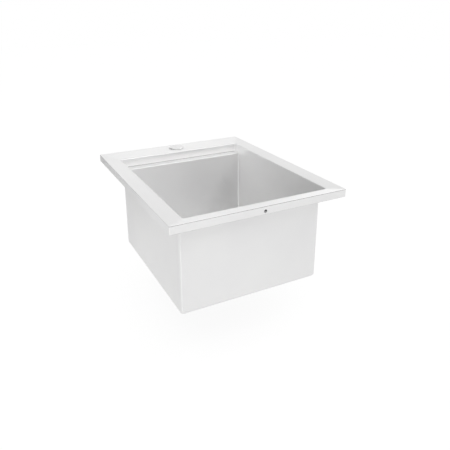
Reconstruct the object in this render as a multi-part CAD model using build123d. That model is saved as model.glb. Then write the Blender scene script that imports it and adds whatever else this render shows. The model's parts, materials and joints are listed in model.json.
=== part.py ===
from build123d import *
import os
from math import pi

os.makedirs("parts", exist_ok=True)

# Frame: Z up, the worktop's top face is Z = 0, the front apron faces -Y,
# and X = Y = 0 is the middle of the rim, which is the middle of the cut-out.

# Rim: a flat frame of folded sheet with an apron turned down all round
sheet = 1.2
rim_width = 457.0
rim_depth = 559.0
rim_corner = 3.0
rim_fold = 1.4
apron_height = 20.0
apron_return = 9.0
side_land = 41.0
front_land = 26.0
back_land = 77.0
apron_hole_radius = 4.0
apron_hole_drop = 12.0

# Foam seal between the apron's foot and the worktop
seal_thickness = 1.5
seal_inset = 3.0

# Bowl: stepped front and back walls, a creased floor and a sunk drain seat
bowl_depth = 254.0
bowl_corner = 4.5
ledge_width = 24.0
ledge_drop = 25.4
ledge_bend = 1.2
mouth_bend = 1.8
mouth_lip = 1.0
floor_bend = 9.0
floor_fall = 5.0
drain_seat_radius = 58.5
drain_seat_depth = 3.5
drain_seat_border = 8.0
drain_seat_width = 14.0

# Sound pad glued under the floor
pad_thickness = 2.5
pad_margin = 26.0
pad_drain_gap = 6.0

# Tap ledge: stiffening channel and the screwed cover of the tap hole
tap_hole_radius = 17.5
channel_sheet = 1.5
channel_border = 5.5
channel_height = 12.0
channel_length = 260.0
cover_overlap = 4.7
cover_height = 2.8
cover_edge = 0.9
cover_recess = 1.4
cover_seal_thickness = 1.0
cover_seal_inset = 1.0
cover_seal_hole_gap = 0.3
cover_stud_drop = 31.0
cover_bar_bearing = 9.5
cover_bar_width = 20.0
cover_bar_thickness = 2.5

# Thread size shared by the cover's stud and the rail bolts
thread_radius = 3.0
thread_gap = 0.05
clearance_gap = 0.3
wing_hub_radius = 6.0
wing_hub_height = 7.0
wing_span = 30.0
wing_height = 13.0
wing_thickness = 2.4
wing_tip_width = 4.5
wing_tip_round = 2.0
wing_lean = 1.0

# Rails under the side lands, and the clips that hang in them
rail_sheet = 1.2
rail_width = 20.0
rail_height = 10.0
rail_slot = 9.0
rail_inset = 26.0
clip_end_distance = 77.0
bolt_head_play = 2.6
bolt_slot_play = 1.0
bolt_head_height = 3.0
bolt_head_corner = 1.0
bolt_length = 40.0
claw_thickness = 2.5
claw_width = 16.0
claw_toe_reach = 22.0
claw_toe_length = 4.0
claw_toe_rise = 2.0
claw_heel_reach = 11.0
claw_heel_rise = 13.0
claw_bend = 3.0
claw_rail_gap = 0.4
washer_radius = 6.0
washer_thickness = 1.6
nut_across_flats = 10.0
nut_height = 5.0

# Basket strainer
strainer_wall = 1.2
strainer_flange_gap = 1.5
strainer_flange_edge = 1.0
strainer_hole_gap = 0.3
strainer_taper = 2.5
strainer_cup_depth = 46.0
strainer_seat_top = 2.0
strainer_seat_drop = 4.0
strainer_outlet_radius = 20.5
strainer_neck_wall = 3.4
strainer_neck_length = 18.0
flange_seal_thickness = 1.2
flange_seal_inset = 1.0
flange_seal_hole_gap = 1.0
under_washer_inset = 2.0
under_washer_thickness = 3.0
friction_ring_thickness = 1.0
thread_play = 0.15
lock_nut_wall = 9.3
lock_nut_height = 11.0
lock_nut_lugs = 6
lock_nut_lug_width = 12.0
lock_nut_lug_reach = 5.0

# Basket with its knob and stopper
basket_wall = 0.9
basket_rim_overhang = 0.7
basket_rim_width = 3.2
basket_rim_height = 1.6
basket_seat_gap = 0.3
basket_neck_step = 3.6
basket_draft = 6.6
basket_depth = 27.0
basket_slots = 12
basket_slot_width = 3.0
basket_slot_height = 13.0
basket_hole_radius = 1.8
basket_hole_rings = 3
basket_hole_pitch = 10.0
basket_ring_step = 7.0
basket_ring_border = 5.5
basket_hub_radius = 7.0
basket_hub_height = 3.0
basket_hub_taper = 1.0
post_radius = 3.5
post_gap = 0.08
knob_radius = 9.0
knob_waist_radius = 5.0
knob_height = 11.0
knob_flute = 1.0
knob_edge = 1.5
knob_band = 2.0
knob_crown = 1.0
knob_hub_gap = 2.0
stopper_overlap = 4.5
stopper_thickness = 6.0
stopper_lip = 1.5
stopper_boss_border = 4.0
stopper_seat_gap = 0.3
stopper_nut_radius = 6.0
stopper_nut_height = 5.0

# Tailpiece and its coupling
tail_radius = 19.05
tail_wall = 0.9
tail_slip_length = 55.0
tail_collar_swell = 0.55
tail_collar_length = 5.8
tail_flange_inset = 1.1
tail_flange_thickness = 1.2
tail_washer_thickness = 2.0
coupling_across_flats = 58.0
coupling_grip = 12.0
coupling_shoulder = 2.5
coupling_gap = 0.3

# How near an edge or corner lies to the place where it is looked for
pick_slack = 0.01

# Levels that follow from the sizes above
apron_foot = seal_thickness
rim_top = apron_foot + apron_height
rim_under = rim_top - sheet
ledge_level = rim_top - ledge_drop
floor_level = rim_top - bowl_depth
drain_edge_level = floor_level - floor_fall
drain_seat_level = drain_edge_level - drain_seat_depth
drain_seat_under = drain_seat_level - sheet

# Places in plan that follow from them
bowl_width = rim_width - 2 * side_land
bowl_length = rim_depth - front_land - back_land
bowl_middle = (front_land - back_land) / 2
lower_length = bowl_length - 2 * ledge_width
mouth_reach = mouth_bend + sheet + mouth_lip
tap_y = rim_depth / 2 - back_land / 2
channel_width = 2 * (tap_hole_radius + channel_border)
cover_radius = tap_hole_radius + cover_overlap
cover_bar_length = 2 * (tap_hole_radius + cover_bar_bearing)
drain_hole_radius = drain_seat_radius - drain_seat_width

# Rails and clips
side_gap_inner = bowl_width / 2 + sheet
side_gap_outer = rim_width / 2 - apron_return
rail_x = (side_gap_inner + side_gap_outer) / 2
rail_foot = rim_under - rail_height
rail_length = bowl_length - 2 * rail_inset
clip_spacing = rail_length - 2 * clip_end_distance
bolt_head_length = rail_width - 2 * rail_sheet - bolt_head_play
bolt_head_width = rail_slot - bolt_slot_play
bolt_head_foot = rail_foot + rail_sheet
claw_top = rail_foot - claw_rail_gap - claw_heel_rise
claw_under = claw_top - claw_thickness
clip_places = {
    "left_front": (-rail_x, bowl_middle - clip_spacing / 2),
    "left_rear": (-rail_x, bowl_middle + clip_spacing / 2),
    "right_front": (rail_x, bowl_middle - clip_spacing / 2),
    "right_rear": (rail_x, bowl_middle + clip_spacing / 2),
}

# Tap-hole cover, from the rim's top down to the wing nut
cover_foot = rim_top + cover_seal_thickness
cover_bar_top = rim_under - channel_sheet
cover_bar_under = cover_bar_top - cover_bar_thickness

# Strainer, from its flange down to the tail
strainer_flange_radius = drain_seat_radius - strainer_flange_gap
strainer_mouth_radius = drain_hole_radius - strainer_hole_gap - strainer_wall
strainer_cup_radius = strainer_mouth_radius - strainer_taper
strainer_neck_radius = strainer_outlet_radius + strainer_neck_wall
flange_seal_radius = strainer_flange_radius - flange_seal_inset
flange_seal_bore = drain_hole_radius + flange_seal_hole_gap
under_washer_radius = strainer_flange_radius - under_washer_inset
flange_under = drain_seat_level + flange_seal_thickness
flange_top = flange_under + strainer_wall
cup_floor = flange_top - strainer_cup_depth
cup_under = cup_floor - strainer_wall
cup_outer_radius = strainer_cup_radius + strainer_wall
lock_nut_radius = cup_outer_radius + lock_nut_wall
neck_foot = cup_under - strainer_neck_length
friction_ring_top = drain_seat_under - under_washer_thickness
lock_nut_top = friction_ring_top - friction_ring_thickness
tail_flange_top = neck_foot - tail_washer_thickness
tail_flange_under = tail_flange_top - tail_flange_thickness
tail_flange_radius = strainer_neck_radius - tail_flange_inset
tail_collar_radius = tail_radius + tail_collar_swell
tail_collar_foot = tail_flange_under - tail_collar_length

# The basket's rim lies on the strainer's tapered seat
basket_rim_radius = strainer_cup_radius + basket_rim_overhang
basket_top_radius = basket_rim_radius - basket_neck_step
basket_floor_radius = basket_top_radius - basket_draft
seat_slope = strainer_taper / strainer_seat_drop
seat_depth_at_rim = (strainer_mouth_radius - basket_rim_radius - basket_seat_gap) / seat_slope
basket_rim_foot = flange_top - strainer_seat_top - seat_depth_at_rim
basket_floor_top = basket_rim_foot - basket_depth + basket_wall
basket_hub_top = basket_floor_top + basket_hub_height
stopper_radius = strainer_outlet_radius + stopper_overlap
stopper_foot = cup_floor + stopper_seat_gap
stopper_top = stopper_foot + stopper_thickness
knob_foot = basket_hub_top + knob_hub_gap


def rounded_prism(x_size, y_size, corner, foot, top, y_middle=0.0):
    outline = RectangleRounded(x_size, y_size, corner)
    return Pos(0, y_middle, foot) * extrude(outline, top - foot)


def turned(points, x=0.0, y=0.0):
    profile = make_face(Plane.XZ * Polyline(*points, close=True))
    return Pos(x, y, 0) * revolve(profile, Axis.Z)


def ring(outer, bore, foot, top, x=0.0, y=0.0):
    outline = Circle(outer) - Circle(bore)
    return Pos(x, y, foot) * extrude(outline, top - foot)


def disc(radius, foot, top, x=0.0, y=0.0):
    return Pos(x, y, foot) * extrude(Circle(radius), top - foot)


def level_edges(shape, level, half_x, half_y, y_middle=0.0):
    """Edges lying at one level, no further out than the given half sizes."""

    def lies_there(edge):
        box = edge.bounding_box()
        flat = abs(box.min.Z - level) < pick_slack and abs(box.max.Z - level) < pick_slack
        within_x = max(-box.min.X, box.max.X) < half_x + pick_slack
        within_y = max(y_middle - box.min.Y, box.max.Y - y_middle) < half_y + pick_slack
        return flat and within_x and within_y

    return shape.edges().filter_by(lies_there)


def corners_at(profile, half_width, height):
    """The corners of a flat profile that lie at plus or minus half_width and at one height."""

    def lies_there(corner):
        at_side = abs(abs(corner.X) - half_width) < pick_slack
        return at_side and abs(corner.Y - height) < pick_slack

    return profile.vertices().filter_by(lies_there)


def floor_trapezoid(half_width, grow):
    drain_half = drain_seat_radius + drain_seat_border
    outline = Polyline(
        (-half_width, floor_level - grow),
        (half_width, floor_level - grow),
        (drain_half, drain_edge_level - grow),
        (-drain_half, drain_edge_level - grow),
        close=True,
    )
    return make_face(outline)


# The floor falls in four flat facets from the walls to a square round the drain,
# which is where a trapezoid drawn across the bowl meets one drawn along it.
def floor_frustum(grow):
    half_x = bowl_width / 2 - floor_bend
    half_y = lower_length / 2 - floor_bend
    across = extrude(Plane.XZ * floor_trapezoid(half_x, grow), half_y, both=True)
    along = extrude(Plane.YZ * floor_trapezoid(half_y, grow), half_x, both=True)
    return Pos(0, bowl_middle, 0) * (across & along)


# The stepped upper part runs the full width and carries the ledges' bends.
def stepped_block(grow):
    half_lower = lower_length / 2 + grow
    half_upper = bowl_length / 2 + grow
    step = ledge_level - grow
    foot = ledge_level - 2 * ledge_bend - sheet - grow
    outline = Polyline(
        (-half_lower, foot),
        (half_lower, foot),
        (half_lower, step),
        (half_upper, step),
        (half_upper, rim_top),
        (-half_upper, rim_top),
        (-half_upper, step),
        (-half_lower, step),
        close=True,
    )
    profile = make_face(outline)
    profile = fillet(corners_at(profile, half_lower, step), ledge_bend + sheet - grow)
    profile = fillet(corners_at(profile, half_upper, step), ledge_bend + grow)
    width = bowl_width + 2 * grow
    block = Plane.YZ * profile
    block = Pos(-width / 2, bowl_middle, 0) * extrude(block, width)
    corners = rounded_prism(width, 2 * half_upper, bowl_corner + grow, foot, rim_top, bowl_middle)
    return block & corners


# One form serves for both faces of the bowl: grown by the sheet, it is the outer one.
def bowl_form(grow):
    width = bowl_width + 2 * grow
    length = lower_length + 2 * grow
    foot = floor_level - grow
    lower = rounded_prism(width, length, bowl_corner + grow, foot, ledge_level, bowl_middle)
    lower = fillet(level_edges(lower, foot, width / 2, length / 2, bowl_middle), floor_bend + grow)
    seat_foot = drain_seat_level - grow
    seat = disc(drain_seat_radius + grow, seat_foot, floor_level - grow, 0, bowl_middle)
    return lower + stepped_block(grow) + floor_frustum(grow) + seat


def bowl_shell():
    lip = rounded_prism(
        bowl_width + 2 * mouth_reach,
        bowl_length + 2 * mouth_reach,
        bowl_corner + mouth_reach,
        rim_under,
        rim_top,
        bowl_middle,
    )
    shell = bowl_form(sheet) + lip - bowl_form(0)
    half_x = bowl_width / 2
    half_y = bowl_length / 2
    shell = fillet(level_edges(shell, rim_under, half_x + sheet, half_y + sheet, bowl_middle), mouth_bend)
    shell = fillet(level_edges(shell, rim_top, half_x, half_y, bowl_middle), mouth_bend + sheet)
    drain = disc(drain_hole_radius, drain_seat_under, drain_edge_level, 0, bowl_middle)
    return shell - drain


def deck_rim():
    frame = rounded_prism(rim_width, rim_depth, rim_corner, apron_foot, rim_top)
    top_fold = level_edges(frame, rim_top, rim_width, rim_depth)
    foot_fold = level_edges(frame, apron_foot, rim_width, rim_depth)
    frame = fillet(top_fold + foot_fold, rim_fold)
    hollow = rounded_prism(
        rim_width - 2 * sheet, rim_depth - 2 * sheet, rim_corner - sheet, apron_foot + sheet, rim_under
    )
    foot_opening = rounded_prism(
        rim_width - 2 * apron_return, rim_depth - 2 * apron_return, rim_corner, apron_foot, apron_foot + sheet
    )
    mouth = rounded_prism(
        bowl_width + 2 * mouth_reach,
        bowl_length + 2 * mouth_reach,
        bowl_corner + mouth_reach,
        rim_under,
        rim_top,
        bowl_middle,
    )
    tap_hole = disc(tap_hole_radius, rim_under, rim_top, 0, tap_y)
    hole_axis = Plane((0, -rim_depth / 2, rim_top - apron_hole_drop), z_dir=(0, 1, 0))
    apron_hole = hole_axis * extrude(Circle(apron_hole_radius), sheet)
    return frame - hollow - foot_opening - mouth - tap_hole - apron_hole


def rim_seal():
    seal_width = apron_return - seal_inset
    outer = RectangleRounded(rim_width - 2 * seal_inset, rim_depth - 2 * seal_inset, rim_corner)
    inner_x = rim_width - 2 * (seal_inset + seal_width)
    inner_y = rim_depth - 2 * (seal_inset + seal_width)
    inner = RectangleRounded(inner_x, inner_y, rim_corner)
    return extrude(outer - inner, seal_thickness)


def sound_pad():
    under_floor = Pos(0, 0, -pad_thickness) * bowl_form(sheet) - bowl_form(sheet)
    pad_x = bowl_width - 2 * pad_margin
    pad_y = lower_length - 2 * pad_margin
    lowest = drain_seat_under - pad_thickness
    area = rounded_prism(pad_x, pad_y, bowl_corner, lowest, floor_level, bowl_middle)
    drain_gap = disc(drain_seat_radius + sheet + pad_drain_gap, lowest, floor_level, 0, bowl_middle)
    return (under_floor & area) - drain_gap


def tap_channel():
    web = Box(channel_length, channel_width, channel_height, align=(Align.CENTER, Align.CENTER, Align.MAX))
    inner_width = channel_width - 2 * channel_sheet
    hollow = Pos(0, 0, -channel_sheet) * Box(
        channel_length, inner_width, channel_height, align=(Align.CENTER, Align.CENTER, Align.MAX)
    )
    channel = Pos(0, tap_y, rim_under) * (web - hollow)
    return channel - disc(tap_hole_radius, rim_under - channel_sheet, rim_under, 0, tap_y)


def tap_cover():
    top = cover_foot + cover_height
    band_inner = tap_hole_radius + cover_seal_hole_gap
    cap = turned(
        [
            (0, top),
            (cover_radius - cover_edge, top),
            (cover_radius, top - cover_edge),
            (cover_radius, cover_foot),
            (band_inner, cover_foot),
            (band_inner - cover_recess, cover_foot + cover_recess),
            (0, cover_foot + cover_recess),
        ],
        0,
        tap_y,
    )
    stud_foot = cover_foot - cover_stud_drop
    return cap + disc(thread_radius, stud_foot, cover_foot + cover_recess, 0, tap_y)


def tap_cover_seal():
    outer = cover_radius - cover_seal_inset
    bore = tap_hole_radius + cover_seal_hole_gap
    return ring(outer, bore, rim_top, cover_foot, 0, tap_y)


def tap_cover_bar():
    outline = SlotOverall(cover_bar_length, cover_bar_width) - Circle(thread_radius + clearance_gap)
    return Pos(0, tap_y, cover_bar_under) * extrude(outline, cover_bar_thickness)


# Wings that flare away from the hub's seat; the seat is the hub's top face here.
def wing_nut(x, y, top):
    half_span = wing_span / 2
    tip_outer = (half_span, wing_tip_round - wing_height)
    tip_end = (half_span - wing_tip_width / 2, -wing_height)
    tip_inner = (half_span - wing_tip_width, wing_tip_round - wing_height)
    upper_edge = Polyline((0, 0), (wing_hub_radius, 0), (half_span - wing_lean, -wing_height / 2), tip_outer)
    tip = ThreePointArc(tip_outer, tip_end, tip_inner)
    lower_edge = Polyline(tip_inner, (wing_hub_radius - wing_lean, -wing_hub_height), (0, -wing_hub_height), (0, 0))
    wing = Plane.XZ * make_face(upper_edge + tip + lower_edge)
    right_wing = extrude(wing, wing_thickness / 2, both=True)
    left_wing = mirror(right_wing, Plane.YZ)
    hub = disc(wing_hub_radius, -wing_hub_height, 0)
    bore = disc(thread_radius + thread_gap, -wing_height, 0)
    return Pos(x, y, top) * (hub + right_wing + left_wing - bore)


def side_rail(side):
    half = rail_width / 2
    inner_half = half - rail_sheet
    slot_half = rail_slot / 2
    outline = Polyline(
        (-half, rim_under),
        (half, rim_under),
        (half, rail_foot),
        (slot_half, rail_foot),
        (slot_half, bolt_head_foot),
        (inner_half, bolt_head_foot),
        (inner_half, rim_under - rail_sheet),
        (-inner_half, rim_under - rail_sheet),
        (-inner_half, bolt_head_foot),
        (-slot_half, bolt_head_foot),
        (-slot_half, rail_foot),
        (-half, rail_foot),
        close=True,
    )
    profile = Plane.XZ * make_face(outline)
    return Pos(side * rail_x, bowl_middle, 0) * extrude(profile, rail_length / 2, both=True)


def clip_bolts():
    bolts = []
    head_outline = RectangleRounded(bolt_head_length, bolt_head_width, bolt_head_corner)
    for x, y in clip_places.values():
        head = Pos(x, y, bolt_head_foot) * extrude(head_outline, bolt_head_height)
        shank = disc(thread_radius, bolt_head_foot - bolt_length, bolt_head_foot, x, y)
        bolts.append((head + shank).solid())
    return Compound(children=bolts)


# Bent strap: a toe that bites under the worktop and a heel that leans on the bowl.
# It is drawn stowed along the rail, with its toe towards the back.
def clip_claw(x, y):
    toe_bend = claw_toe_reach - claw_toe_length
    outline = Polyline(
        (-claw_heel_reach, claw_top + claw_heel_rise),
        (-claw_heel_reach, claw_under),
        (toe_bend, claw_under),
        (claw_toe_reach, claw_under + claw_toe_rise),
        (claw_toe_reach, claw_top + claw_toe_rise),
        (toe_bend, claw_top),
        (claw_thickness - claw_heel_reach, claw_top),
        (claw_thickness - claw_heel_reach, claw_top + claw_heel_rise),
        close=True,
    )
    profile = make_face(outline)
    profile = fillet(corners_at(profile, claw_heel_reach, claw_under), claw_bend)
    strap = Plane.YZ * profile
    strap = Pos(-claw_width / 2, 0, 0) * extrude(strap, claw_width)
    bore = disc(thread_radius + clearance_gap, claw_under, claw_top)
    return Pos(x, y, 0) * (strap - bore)


def clip_washer(x, y):
    return ring(washer_radius, thread_radius + clearance_gap, claw_under - washer_thickness, claw_under, x, y)


def clip_nut(x, y):
    top = claw_under - washer_thickness
    hexagon = RegularPolygon(nut_across_flats / 2, 6, major_radius=False) - Circle(thread_radius + thread_gap)
    return Pos(x, y, top - nut_height) * extrude(hexagon, nut_height)


def strainer_body():
    seat_foot = flange_top - strainer_seat_top - strainer_seat_drop
    return turned(
        [
            (strainer_flange_radius, flange_top - strainer_wall / 2),
            (strainer_flange_radius - strainer_flange_edge, flange_top),
            (strainer_mouth_radius + strainer_flange_edge, flange_top),
            (strainer_mouth_radius, flange_top - strainer_seat_top),
            (strainer_cup_radius, seat_foot),
            (strainer_cup_radius, cup_floor),
            (strainer_outlet_radius, cup_floor),
            (strainer_outlet_radius, neck_foot),
            (strainer_neck_radius, neck_foot),
            (strainer_neck_radius, cup_under),
            (cup_outer_radius, cup_under),
            (cup_outer_radius, seat_foot),
            (strainer_mouth_radius + strainer_wall, flange_under - strainer_seat_top),
            (strainer_mouth_radius + strainer_wall, flange_under),
            (strainer_flange_radius, flange_under),
        ],
        0,
        bowl_middle,
    )


def strainer_seal():
    return ring(flange_seal_radius, flange_seal_bore, drain_seat_level, flange_under, 0, bowl_middle)


def strainer_washer():
    bore = strainer_mouth_radius + strainer_wall + clearance_gap
    return ring(under_washer_radius, bore, friction_ring_top, drain_seat_under, 0, bowl_middle)


def strainer_friction_ring():
    bore = strainer_mouth_radius + strainer_wall + clearance_gap
    return ring(under_washer_radius, bore, lock_nut_top, friction_ring_top, 0, bowl_middle)


def strainer_lock_nut():
    foot = lock_nut_top - lock_nut_height
    collar = Circle(lock_nut_radius)
    for place in PolarLocations(lock_nut_radius, lock_nut_lugs):
        collar += place * Rectangle(2 * lock_nut_lug_reach, lock_nut_lug_width)
    collar -= Circle(cup_outer_radius + thread_play)
    return Pos(0, bowl_middle, foot) * extrude(collar, lock_nut_height)


def tail_washer():
    return ring(tail_flange_radius, tail_collar_radius, tail_flange_top, neck_foot, 0, bowl_middle)


def tailpiece():
    bore = tail_radius - tail_wall
    foot = tail_collar_foot - tail_slip_length
    return turned(
        [
            (bore, foot),
            (tail_radius, foot),
            (tail_radius, tail_collar_foot),
            (tail_collar_radius, tail_collar_foot),
            (tail_collar_radius, tail_flange_under),
            (tail_flange_radius, tail_flange_under),
            (tail_flange_radius, tail_flange_top),
            (bore, tail_flange_top),
        ],
        0,
        bowl_middle,
    )


def coupling_nut():
    foot = tail_flange_under - coupling_shoulder
    top = neck_foot + coupling_grip
    hexagon = RegularPolygon(coupling_across_flats / 2, 6, major_radius=False)
    nut = Pos(0, bowl_middle, foot) * extrude(hexagon, top - foot)
    shoulder_bore = disc(tail_collar_radius + coupling_gap, foot, tail_flange_under, 0, bowl_middle)
    thread_bore = disc(strainer_neck_radius + thread_play, tail_flange_under, top, 0, bowl_middle)
    return nut - shoulder_bore - thread_bore


def basket():
    rim_top_level = basket_rim_foot + basket_rim_height
    floor_under = basket_floor_top - basket_wall
    rim_inner = basket_rim_radius - basket_rim_width
    shell = turned(
        [
            (post_radius + post_gap, floor_under),
            (basket_floor_radius, floor_under),
            (basket_top_radius, basket_rim_foot),
            (basket_rim_radius, basket_rim_foot),
            (basket_rim_radius, rim_top_level),
            (rim_inner, rim_top_level),
            (basket_top_radius - basket_wall, basket_rim_foot),
            (basket_floor_radius - basket_wall, basket_floor_top),
            (basket_hub_radius, basket_floor_top),
            (basket_hub_radius - basket_hub_taper, basket_hub_top),
            (post_radius + post_gap, basket_hub_top),
        ]
    )
    slot_middle = (basket_floor_top + basket_rim_foot) / 2
    slot_reach = basket_top_radius - basket_hub_radius
    for place in PolarLocations(basket_hub_radius + slot_reach / 2, basket_slots):
        slot_cut = Box(slot_reach, basket_slot_width, basket_slot_height)
        shell -= place * Pos(slot_reach / 2, 0, slot_middle) * slot_cut
    outermost_ring = basket_floor_radius - basket_ring_border
    for index in range(basket_hole_rings):
        ring_radius = outermost_ring - index * basket_ring_step
        holes_in_ring = int(2 * pi * ring_radius / basket_hole_pitch + 0.5)
        for place in PolarLocations(ring_radius, holes_in_ring):
            shell -= place * disc(basket_hole_radius, floor_under, basket_floor_top)
    return Pos(0, bowl_middle, 0) * shell


def basket_knob():
    top = knob_foot + knob_height
    waist = knob_foot + knob_height / 2
    post_foot = stopper_foot - stopper_nut_height
    return turned(
        [
            (0, post_foot),
            (post_radius, post_foot),
            (post_radius, knob_foot),
            (knob_waist_radius, knob_foot),
            (knob_waist_radius - knob_flute, waist),
            (knob_radius, top - knob_crown - knob_band),
            (knob_radius, top - knob_crown),
            (knob_radius - knob_edge, top),
            (0, top),
        ],
        0,
        bowl_middle,
    )


def basket_stopper():
    return turned(
        [
            (post_radius + post_gap, stopper_foot),
            (stopper_radius - stopper_lip, stopper_foot),
            (stopper_radius, stopper_foot + stopper_lip),
            (stopper_radius - stopper_lip, stopper_foot + 2 * stopper_lip),
            (stopper_nut_radius + stopper_boss_border, stopper_top),
            (post_radius + post_gap, stopper_top),
        ],
        0,
        bowl_middle,
    )


def stopper_nut():
    return ring(
        stopper_nut_radius, post_radius + post_gap, stopper_foot - stopper_nut_height, stopper_foot, 0, bowl_middle
    )


parts = {
    "deck_rim": deck_rim(),
    "bowl_shell": bowl_shell(),
    "rim_seal": rim_seal(),
    "sound_pad": sound_pad(),
    "tap_channel": tap_channel(),
    "tap_cover": tap_cover(),
    "tap_cover_seal": tap_cover_seal(),
    "tap_cover_bar": tap_cover_bar(),
    "tap_cover_wing_nut": wing_nut(0, tap_y, cover_bar_under),
    "left_rail": side_rail(-1),
    "right_rail": side_rail(1),
    "clip_bolts": clip_bolts(),
    "strainer_body": strainer_body(),
    "strainer_seal": strainer_seal(),
    "strainer_washer": strainer_washer(),
    "strainer_friction_ring": strainer_friction_ring(),
    "strainer_lock_nut": strainer_lock_nut(),
    "tail_washer": tail_washer(),
    "tailpiece": tailpiece(),
    "coupling_nut": coupling_nut(),
    "basket": basket(),
    "basket_knob": basket_knob(),
    "basket_stopper": basket_stopper(),
    "stopper_nut": stopper_nut(),
}
for corner, (clip_x, clip_y) in clip_places.items():
    parts["clip_claw_" + corner] = clip_claw(clip_x, clip_y)
    parts["clip_washer_" + corner] = clip_washer(clip_x, clip_y)
    parts["clip_nut_" + corner] = clip_nut(clip_x, clip_y)

for node, shape in parts.items():
    export_step(shape, os.path.join("parts", node + ".step"))
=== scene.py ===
import json
import math

import bmesh
import bpy
from mathutils import Matrix, Vector


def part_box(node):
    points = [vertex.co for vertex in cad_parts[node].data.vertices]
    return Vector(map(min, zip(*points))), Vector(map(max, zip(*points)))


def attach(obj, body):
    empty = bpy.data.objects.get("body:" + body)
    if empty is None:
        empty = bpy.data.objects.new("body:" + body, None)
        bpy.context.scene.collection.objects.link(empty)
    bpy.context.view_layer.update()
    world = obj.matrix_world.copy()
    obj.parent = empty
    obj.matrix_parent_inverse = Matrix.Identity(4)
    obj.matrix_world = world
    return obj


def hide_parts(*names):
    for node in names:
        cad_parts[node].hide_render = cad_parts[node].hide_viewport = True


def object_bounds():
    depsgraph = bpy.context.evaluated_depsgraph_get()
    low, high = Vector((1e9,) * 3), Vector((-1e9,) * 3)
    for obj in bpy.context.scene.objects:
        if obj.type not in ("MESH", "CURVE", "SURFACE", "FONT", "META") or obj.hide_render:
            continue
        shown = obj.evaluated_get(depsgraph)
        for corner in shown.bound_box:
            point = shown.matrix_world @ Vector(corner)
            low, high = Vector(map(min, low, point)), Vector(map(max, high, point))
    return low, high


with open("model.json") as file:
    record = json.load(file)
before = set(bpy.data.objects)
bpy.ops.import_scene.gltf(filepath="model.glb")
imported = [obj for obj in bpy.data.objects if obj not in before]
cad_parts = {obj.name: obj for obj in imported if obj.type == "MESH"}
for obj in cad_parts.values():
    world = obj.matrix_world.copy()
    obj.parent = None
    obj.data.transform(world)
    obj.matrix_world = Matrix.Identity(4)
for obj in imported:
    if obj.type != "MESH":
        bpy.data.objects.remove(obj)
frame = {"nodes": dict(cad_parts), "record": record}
nodes = frame["nodes"]
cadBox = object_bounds()
print("frame loaded,", len(nodes), "nodes")

# Camera at the photograph's viewing angle, metres and degrees
cameraFit = {
    "place": (-0.5386, -1.1176, 0.4432),
    "yaw": -27.538,
    "pitch": 18.898,
    "lens": 39.0,
    "sensor": 36.0,
    "shiftY": -0.12,
    "clipEnd": 60.0,
}

studio = {
    "floorColour": (0.93, 0.93, 0.93),
    "floorReach": 9.0,
    "floorDrop": 0.0006,
    "floorShadow": 0.15,
    "floorLevel": 1.06,
    "floorGloss": 0.94,
    "skyColour": (1.0, 1.0, 1.0),
    "skyLevel": 0.72,
    "background": (1.0, 1.0, 1.0),
    "backgroundLevel": 1.0,
    "aim": (0.0, 0.0, -0.1),
}

# Soft boxes: place, power and size
softBoxes = {
    "keyLamp": {"place": (-1.1, -1.7, 2.4), "power": 17.0, "size": (2.2, 2.2)},
    "rightLamp": {"place": (2.3, -0.4, 1.9), "power": 9.0, "size": (1.8, 1.8)},
}

# Cards that only the steel's gloss sees: middle, size and level of grey or white
glossCards = {
    "cornerCard": {"place": (-1.2, 1.42, 1.1), "size": (0.75, 2.2), "level": 0.5},
    "leftWallCard": {"place": (-0.75, 1.85, -0.05), "size": (0.9, 0.6), "level": 0.15},
    "frontRightCard": {"place": (1.0, -1.92, 2.3), "size": (1.2, 1.6), "level": 2.4},
    "frontLeftCard": {"place": (-1.15, -2.1, 1.4), "size": (1.3, 2.0), "level": 2.1},
}

# Finishes: colour, roughness and the scale of each finish's own pattern
brushedFinish = {
    "colour": (0.885, 0.885, 0.88),
    "darkColour": (0.85, 0.847, 0.85),
    # shadeColour is the near black that the painted shade mixes in
    "shadeColour": (0.05, 0.05, 0.05),
    "roughLow": 0.28,
    "roughHigh": 0.38,
    "anisotropy": 1.0,
    "grainTurn": 0.25,
    "grainAcross": 2600.0,
    "grainAlong": 26.0,
    "cloudScale": 5.0,
    "bump": 0.05,
    "bumpReach": 0.00008,
}
millFinish = {
    "colour": (0.66, 0.66, 0.655),
    "darkColour": (0.58, 0.58, 0.575),
    "roughLow": 0.34,
    "roughHigh": 0.48,
    "cloudScale": 38.0,
    "grainScale": (240.0, 9.0, 240.0),
    "bump": 0.06,
    "bumpReach": 0.0001,
}
polishedFinish = {
    "colour": (0.80, 0.80, 0.80),
    "darkColour": (0.74, 0.74, 0.74),
    "roughLow": 0.10,
    "roughHigh": 0.2,
    "cloudScale": 60.0,
    "grainScale": (22.0, 22.0, 900.0),
    "bump": 0.03,
    "bumpReach": 0.00005,
}
zincFinish = {
    "colour": (0.70, 0.71, 0.73),
    "darkColour": (0.60, 0.62, 0.66),
    "roughLow": 0.24,
    "roughHigh": 0.42,
    "cloudScale": 140.0,
    "grainScale": (420.0, 420.0, 420.0),
    "bump": 0.03,
    "bumpReach": 0.0001,
}
chromeFinish = {
    "colour": (0.84, 0.84, 0.85),
    "darkColour": (0.80, 0.80, 0.82),
    "roughLow": 0.05,
    "roughHigh": 0.11,
    "cloudScale": 45.0,
    "grainScale": (60.0, 60.0, 60.0),
    "bump": 0.01,
    "bumpReach": 0.00004,
}
castFinish = {
    "colour": (0.52, 0.53, 0.54),
    "darkColour": (0.40, 0.41, 0.42),
    "roughLow": 0.48,
    "roughHigh": 0.66,
    "cloudScale": 120.0,
    "grainScale": (900.0, 900.0, 900.0),
    "bump": 0.35,
    "bumpReach": 0.00018,
}
rubberFinish = {
    "colour": (0.030, 0.030, 0.031),
    "darkColour": (0.018, 0.018, 0.019),
    "roughLow": 0.52,
    "roughHigh": 0.70,
    "speckleScale": 900.0,
    "bump": 0.20,
    "bumpReach": 0.0001,
}
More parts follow.
